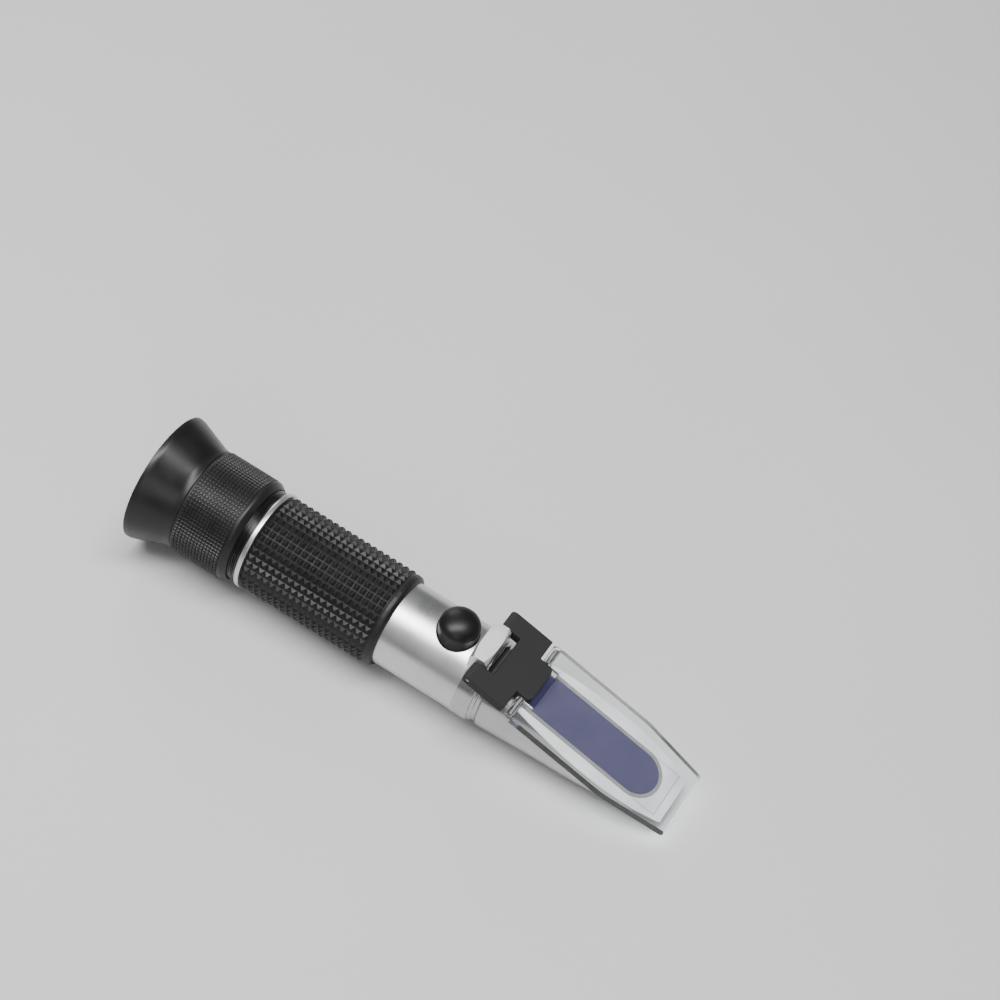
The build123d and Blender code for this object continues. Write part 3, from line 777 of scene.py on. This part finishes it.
def nose_solid(name):
    """Turned shape of the nose before its top is cut away."""
    spigot = TUBE_R - 1.12 * MM
    ring_rear = TUBE_FRONT + 0.02 * MM
    groove_r = HEAD_R - 1.08 * MM
    nose = spline([
        Vector((110.4 * MM, 12.25 * MM)),
        Vector((126.7 * MM, 11.65 * MM)),
        Vector((139.7 * MM, 11.4 * MM)),
        Vector((152.7 * MM, 10.6 * MM)),
        Vector((162.5 * MM, 9.42 * MM)),
        Vector((HEAD_TIP - 0.35 * MM, 8.98 * MM)),
    ], 9)
    outline = rounded([
        (HEAD_REAR, 0),
        (HEAD_REAR, spigot),
        (ring_rear, spigot),
        (ring_rear, HEAD_R, 0.14 * MM),
        (TUBE_FRONT + 4.95 * MM, HEAD_R, 0.2 * MM),
        (TUBE_FRONT + 5.2 * MM, HEAD_R - 0.55 * MM, 0.15 * MM),
        (TUBE_FRONT + 5.9 * MM, HEAD_R - 0.6 * MM, 0.12 * MM),
        (TUBE_FRONT + 6.3 * MM, groove_r, 0.2 * MM),
        (TUBE_FRONT + 7.3 * MM, groove_r, 0.3 * MM),
    ])
    outline += nose
    outline += [Vector((HEAD_TIP, 8.7 * MM)), Vector((HEAD_TIP, 0))]
    return lathe(name, outline, 160)


def pockets():
    """Tools that sink the cell plate, and the seal round the glass, into the face."""
    slack = 0.12 * MM
    under = 0.1 * MM
    clear = 5 * MM
    plate = box_outline(CELL_REAR, CELL_END + slack, -CELL_HALF - slack, CELL_HALF + slack)
    yield face_slab("cutter", plate, -CELL_DEPTH - under, clear)
    seal = window_outline(SEAL_WIDTH, CELL_REAR)
    yield face_slab("cutter", seal, -SEAL_DEPTH - under, clear)


def make_prism_head():
    """Nickel-plated nose: spigot, ring, groove and taper, cut flat for the prism."""
    head = nose_solid("prism_head_nose")
    wall = LUG_FRONT
    far = HEAD_TIP + 10 * MM
    high = 40 * MM
    skin_depth = SKIN / NORMAL.z
    sliver = 0.001 * MM
    above = rounded([
        (wall, high),
        (wall, face_z(wall), 1.7 * MM),
        (SKIN_REAR, face_z(SKIN_REAR)),
        (SKIN_REAR + sliver, face_z(SKIN_REAR) - skin_depth),
        (far, face_z(far) - skin_depth),
        (far, high),
    ], 16)
    cut(head, side_slab("cutter", above, FAR), *pockets())
    return fit_piece(smooth(head, 28), "prism_head")


def make_face_skin():
    """Satin face of the nose round the window, with its edge just eased."""
    skin = nose_solid("prism_face_satin")
    flat = box_outline(along(SKIN_REAR), along(HEAD_TIP + 5 * MM), -FAR, FAR)
    combine(skin, face_slab("slab", flat, -SKIN, 0), "INTERSECT")
    cut(skin, *pockets())
    soften(skin, 0.08 * MM, 2, 40, 20)
    return dress(skin, NODE_BODIES["prism_cell"], "face_satin")


def make_hinge_lug():
    """Block for the hinge pin, with a flat top between two turned cones."""
    top_r = 17.95 * MM
    lug = lathe("hinge_lug", [
        (LUG_REAR, 0),
        (LUG_REAR, top_r - 1.6 * MM),
        (LUG_REAR + 1.25 * MM, top_r),
        (LUG_FRONT - 1.05 * MM, top_r),
        (LUG_FRONT, top_r - 1.3 * MM),
        (LUG_FRONT, 0),
    ], 256)
    lug_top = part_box("prism_head")[1].z
    column = box_outline(LUG_REAR - MM, LUG_FRONT + MM, TUBE_R - 3 * MM, lug_top)
    combine(lug, side_slab("column", column, LUG_HALF), "INTERSECT")
    seat_rear, seat_r = 90 * MM, TUBE_R + 0.05 * MM
    seat = [(seat_rear, 0), (seat_rear, seat_r), (TUBE_FRONT, seat_r), (TUBE_FRONT, 0)]
    cut(lug, lathe("cutter", seat, 160))
    soften(lug, 0.06 * MM, 1, 20, 20)
    return dress(lug, NODE_BODIES["prism_head"], "face_satin")


def make_face_plate():
    """Satin plate let into the face round the glass: its seam shows near the tip."""
    outline = box_outline(CELL_REAR, CELL_END, -CELL_HALF, CELL_HALF)
    plate = face_slab("face_plate", outline, -CELL_DEPTH, 0)
    cut(plate, face_slab("cutter", window_outline(SEAL_WIDTH, CELL_REAR - MM), -3 * MM, MM))
    soften(plate, 0.04 * MM, 2, 35, 20)
    return fit_piece(plate, "prism_cell")


def make_window_seal():
    """Grey sealant bead round the glass, slightly crowned."""
    outline = window_outline(SEAL_WIDTH - 0.03 * MM, CELL_REAR)
    seal = face_slab("window_sealant", outline, -SEAL_DEPTH, 0.10 * MM)
    cut(seal, face_slab("cutter", window_outline(0.0, CELL_REAR - MM), -3 * MM, MM))
    soften(seal, 0.09 * MM, 3)
    return fit_piece(seal, "window_seal")


def make_glass():
    """Prism: a long polished glass face, slightly proud, over the wedge that bends the light."""
    glass = face_slab("prism_window", window_outline(-0.02 * MM), -1.0 * MM, GLASS_PROUD)
    soften(glass, 0.12 * MM, 3)
    bake(glass)
    low_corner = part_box("main_prism")[0]
    rear, low = low_corner.x, low_corner.z
    toe = rear + 34.3 * MM
    toe_slope, toe_rise = 5.5 * MM, 1.9 * MM
    depth = 0.9 * MM / NORMAL.z
    wedge = side_slab("wedge", [
        (rear, face_z(rear) - depth),
        (rear, low),
        (toe - toe_slope, low),
        (toe, low + toe_rise),
        (toe, face_z(toe) - depth),
    ], WINDOW_HALF - 0.45 * MM)
    soften(wedge, 0.2 * MM, 2)
    bake(wedge)
    combine(glass, wedge, "UNION")
    return fit_piece(smooth(glass, 40), "main_prism")


def make_hinge_pin():
    pin = cross_rod("hinge_pin_rod", HINGE, 0.64 * MM, 12.62 * MM, 48, 0.12 * MM)
    return fit_piece(smooth(pin), "hinge_pin")


# ================================================================ cover
EAR_HALF = 12.8 * MM
BRACKET_HALF_THICKNESS = 1.6 * MM
BRACKET_TOP = PIN_HEIGHT + BRACKET_HALF_THICKNESS
NOTCH_S = along(110.0 * MM, BRACKET_TOP)
SHOULDER_S = along(117.2 * MM, BRACKET_TOP)
TONGUE_S = along(121.75 * MM, BRACKET_TOP)
TONGUE_HALF = 6.3 * MM
PLATE_LOW = 0.35 * MM
PLATE_HIGH = 3.15 * MM


def make_cover_bracket():
    """Matt bracket: ears round the lug, shoulders, and a tongue with round corners."""
    notch = LUG_HALF + 0.4 * MM
    rear = -3 * MM
    half_plan = [
        (NOTCH_S, notch, 0.25 * MM),
        (rear, notch),
        (rear, EAR_HALF),
        (SHOULDER_S, EAR_HALF, 0.35 * MM),
        (SHOULDER_S, TONGUE_HALF, 0.3 * MM),
        (TONGUE_S, TONGUE_HALF, 1.9 * MM),
    ]
    mirrored = [(p[0], -p[1], *p[2:]) for p in reversed(half_plan)]
    plan = rounded(half_plan + mirrored, 6)
    bracket = face_slab("hinge_bracket", plan, -2 * MM, 8 * MM)
    side = []
    steps = 24
    for k in range(steps + 1):
        turn = math.pi * (0.5 + k / steps)
        s = BRACKET_HALF_THICKNESS * math.cos(turn)
        w = PIN_HEIGHT + BRACKET_HALF_THICKNESS * math.sin(turn)
        side.append((s, w))
    side += [
        (TONGUE_S + MM, PIN_HEIGHT - BRACKET_HALF_THICKNESS),
        (TONGUE_S + MM, PIN_HEIGHT + BRACKET_HALF_THICKNESS),
    ]
    wide = slab("side", side, lambda s, w, y: on_face(s, y, w), -FAR, FAR)
    combine(bracket, wide, "INTERSECT")
    soften(bracket, 0.28 * MM, 3, 40)
    cut(
        bracket,
        cross_rod("cutter", HINGE, 0.72 * MM, FAR),
        cross_rod("cutter", KNUCKLE, 0.61 * MM, TONGUE_HALF + 1.7 * MM),
    )
    return fit_piece(bracket, "cover_bracket")


def make_daylight_plate():
    """Clear plate with a tapered front, a leaning tip and two round knuckles."""
    half, tip_half = 13.3 * MM, 10.3 * MM
    notch = TONGUE_HALF + 0.4 * MM
    knuckle_end = half - 0.4 * MM
    rear = KNUCKLE_S + 0.9 * MM
    tip = along(168.85 * MM, PLATE_LOW)
    tip_lean = 0.9 * MM
    half_plan = [
        (along(123.3 * MM, PLATE_HIGH), notch, 0.4 * MM),
        (rear, notch),
        (rear, half, 0.4 * MM),
        (along(149.3 * MM, PLATE_LOW), half, 1.6 * MM),
        (tip, tip_half, 1.0 * MM),
    ]
    mirrored = [(p[0], -p[1], *p[2:]) for p in reversed(half_plan)]
    plate = face_slab("clear_plate", rounded(half_plan + mirrored, 6), PLATE_LOW, PLATE_HIGH)
    beyond = tip + MM
    lean = [
        (tip, PLATE_LOW - MM),
        (tip, PLATE_LOW),
        (tip - tip_lean, PLATE_HIGH),
        (tip - tip_lean, PLATE_HIGH + MM),
        (beyond, PLATE_HIGH + MM),
        (beyond, PLATE_LOW - MM),
    ]
    cut(plate, slab("cutter", lean, lambda s, w, y: on_face(s, y, w), -half - MM, half + MM))
    soften(plate, 0.3 * MM, 3, 30)
    half_length = (knuckle_end - notch) / 2
    for side in (-1, 1):
        centre = KNUCKLE + Vector((0, side * (notch + knuckle_end) / 2, 0))
        knuckle = cross_rod("knuckle", centre, 1.42 * MM, half_length, 64, 0.15 * MM)
        combine(plate, knuckle, "UNION")
    cut(plate, cross_rod("cutter", KNUCKLE, 0.65 * MM, FAR))
    return fit_piece(smooth(plate, 30), "daylight_plate")


def make_plate_pin():
    pin = cross_rod("levelling_pin", KNUCKLE, 0.59 * MM, 12.3 * MM, 48, 0.1 * MM)
    return fit_piece(smooth(pin), "plate_pin")


# ================================================================ the scene round the object
def make_floor():
    """Pale table top, level with the eyecup's rim and the nose as the object lies on it."""
    nose_x, nose_r = 140 * MM, 11.45 * MM
    touch_rear = Vector((EYECUP_REAR, 0, -EYECUP_R))
    touch_front = Vector((nose_x, 0, -nose_r))
    slope = (touch_front - touch_rear).normalized()
    up = Vector((-slope.z, 0, slope.x))
    half_size = 1.5
    gap = 0.1 * MM
    corners = []
    for a, b in ((-1, -1), (1, -1), (1, 1), (-1, 1)):
        side = Vector((0, b * half_size, 0))
        corners.append(touch_rear + slope * a * half_size + side - up * gap)
    floor = make_object("table_top", corners, [[0, 1, 2, 3]])
    made = Surface("pale_table", Specular_IOR_Level=0.3)
    broad = made.noise(6, 3.0)
    made.colour(made.colours(broad, (0.3, grey(0.62)), (0.7, grey(0.65))))
    made.roughness(made.between(broad, 0.55, 0.65))
    floor.data.materials.append(made.material)


def make_lamp(name, place, aim, size, power, tall=None):
    lamp = bpy.data.lights.new(name, "AREA")
    lamp.shape = "RECTANGLE"
    lamp.size = size
    lamp.size_y = tall or size
    lamp.energy = power
    item = bpy.data.objects.new(name, lamp)
    item.location = place
    item.rotation_euler = (Vector(aim) - Vector(place)).to_track_quat("-Z", "Y").to_euler()
    bpy.context.scene.collection.objects.link(item)


def make_lights():
    middle = (0.085, 0.0, 0.0)
    make_lamp("overhead_softbox", (-0.04, -0.12, 0.80), middle, 0.2, 11.8, 0.95)
    make_lamp("front_fill", (0.30, -0.80, 0.55), middle, 0.5, 1.6)
    make_lamp("rear_rim", (-0.50, 0.60, 0.40), middle, 0.4, 2.0)
    world = bpy.data.worlds.new("studio")
    world.use_nodes = True
    world.node_tree.nodes["Background"].inputs["Color"].default_value = (0.9, 0.92, 0.95, 1)
    world.node_tree.nodes["Background"].inputs["Strength"].default_value = 0.22
    bpy.context.scene.world = world


def make_camera():
    """Camera above the near side of the prism, looking down along the instrument."""
    azimuth, elevation, roll = (math.radians(a) for a in (17.67, 53.59, -16.91))
    place = Vector((0.217115, -0.382288, 0.618492))
    back = Vector((
        math.sin(azimuth) * math.cos(elevation),
        -math.cos(azimuth) * math.cos(elevation),
        math.sin(elevation),
    ))
    right = (-back).cross(Vector((0, 0, 1))).normalized()
    down = (-back).cross(right)
    across = right * math.cos(roll) + down * math.sin(roll)
    upward = right * math.sin(roll) - down * math.cos(roll)
    data = bpy.data.cameras.new("photo_view")
    data.lens = 98.0
    data.sensor_width = 36.0
    data.clip_start = 0.01
    camera = bpy.data.objects.new("photo_view", data)
    turn = Matrix((across, upward, back)).transposed()
    camera.matrix_world = Matrix.Translation(place) @ turn.to_4x4()
    bpy.context.scene.collection.objects.link(camera)
    bpy.context.scene.camera = camera


def dress_cad_nodes():
    """Gives every CAD node its material and smooth shading; the replaced ones stay hidden."""
    for name, item in frame["nodes"].items():
        item.data.materials.clear()
        item.data.materials.append(MATERIALS[NODE_SLOTS[name]])
        for face in item.data.polygons:
            face.use_smooth = True
        item.data.set_sharp_from_angle(angle=math.radians(30))


make_camera()
make_floor()
make_lights()
dress_cad_nodes()
make_eyecup()
make_focus_ring()
make_eyepiece_guide()
make_grip_end_ring()
make_rubber_grip()
make_body_tube()
make_calibration_cap()
make_prism_head()
make_hinge_lug()
make_face_skin()
make_face_plate()
make_window_seal()
make_glass()
make_hinge_pin()
make_cover_bracket()
make_daylight_plate()
make_plate_pin()
